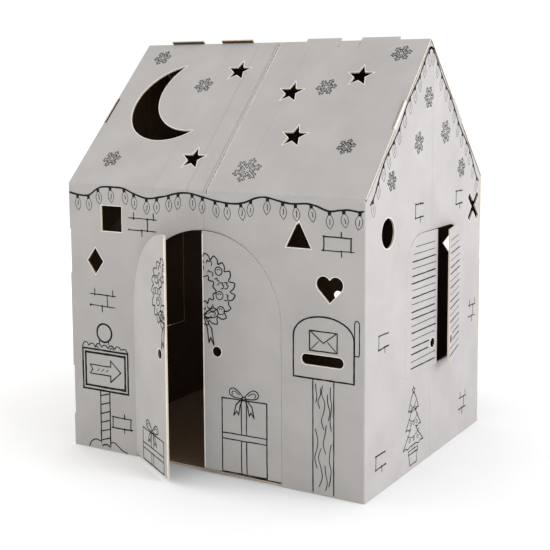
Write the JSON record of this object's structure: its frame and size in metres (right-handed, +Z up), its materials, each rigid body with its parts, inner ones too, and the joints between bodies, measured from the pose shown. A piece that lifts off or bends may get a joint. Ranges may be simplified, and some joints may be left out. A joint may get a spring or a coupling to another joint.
{
  "type": "cardboard playhouse",
  "caption": "Child-size folded cardboard playhouse with pitched roof, arched double doors, shuttered windows, shaped cut-outs and line drawings to colour in.",
  "frame": {"origin": "on the ground at the middle of the walls' footprint", "axes": "+Z up, front wall facing -Y, +X towards the gable wall on the front's right"},
  "size_m": [0.8842, 0.8474, 1.015],
  "materials": {
    "white_board": "uncoated white liner outside, brown kraft inside",
    "kraft_board": "plain brown kraft",
    "print_ink": "matt black flexo ink"
  },
  "bodies": {
    "house": {"front_wall": "white_board", "front_roof": "white_board", "right_gable": "white_board", "back_wall": "white_board", "back_roof": "white_board", "left_gable": "white_board", "floor_panel": "kraft_board", "front_wall_print": "print_ink", "front_roof_print": "print_ink", "right_gable_print": "print_ink", "back_wall_print": "print_ink", "back_roof_print": "print_ink", "left_gable_print": "print_ink"},
    "front_left_leaf": {"front_left_leaf": "white_board", "front_left_leaf_print": "print_ink"},
    "front_right_leaf": {"front_right_leaf": "white_board", "front_right_leaf_print": "print_ink"},
    "back_left_leaf": {"back_left_leaf": "white_board", "back_left_leaf_print": "print_ink"},
    "back_right_leaf": {"back_right_leaf": "white_board", "back_right_leaf_print": "print_ink"},
    "right_near_shutter": {"right_near_shutter": "white_board", "right_near_shutter_print": "print_ink"},
    "right_far_shutter": {"right_far_shutter": "white_board", "right_far_shutter_print": "print_ink"},
    "left_near_shutter": {"left_near_shutter": "white_board", "left_near_shutter_print": "print_ink"},
    "left_far_shutter": {"left_far_shutter": "white_board", "left_far_shutter_print": "print_ink"}
  },
  "joints": [
    {"name": "front_left_leaf_hinge", "type": "hinge", "parent": "house", "child": "front_left_leaf", "pos_m": [-0.213, -0.3425, 0.2], "axis": [0, 0, -1], "range_deg": [-32, 138]},
    {"name": "front_right_leaf_hinge", "type": "hinge", "parent": "house", "child": "front_right_leaf", "pos_m": [0.199, -0.3425, 0.2], "axis": [0, 0, 1], "range_deg": [-2, 168]},
    {"name": "back_left_leaf_hinge", "type": "hinge", "parent": "house", "child": "back_left_leaf", "pos_m": [0.213, 0.3425, 0.2], "axis": [0, 0, -1], "range_deg": [-2, 168]},
    {"name": "back_right_leaf_hinge", "type": "hinge", "parent": "house", "child": "back_right_leaf", "pos_m": [-0.199, 0.3425, 0.2], "axis": [0, 0, 1], "range_deg": [-15, 155]},
    {"name": "right_near_shutter_hinge", "type": "hinge", "parent": "house", "child": "right_near_shutter", "pos_m": [0.4065, -0.1325, 0.4], "axis": [0, 0, -1], "range_deg": [-2, 163]},
    {"name": "right_far_shutter_hinge", "type": "hinge", "parent": "house", "child": "right_far_shutter", "pos_m": [0.4065, 0.2105, 0.4], "axis": [0, 0, 1], "range_deg": [-12, 153]},
    {"name": "left_near_shutter_hinge", "type": "hinge", "parent": "house", "child": "left_near_shutter", "pos_m": [-0.4065, 0.1325, 0.4], "axis": [0, 0, -1], "range_deg": [-2, 163]},
    {"name": "left_far_shutter_hinge", "type": "hinge", "parent": "house", "child": "left_far_shutter", "pos_m": [-0.4065, -0.2105, 0.4], "axis": [0, 0, 1], "range_deg": [-12, 153]}
  ]
}
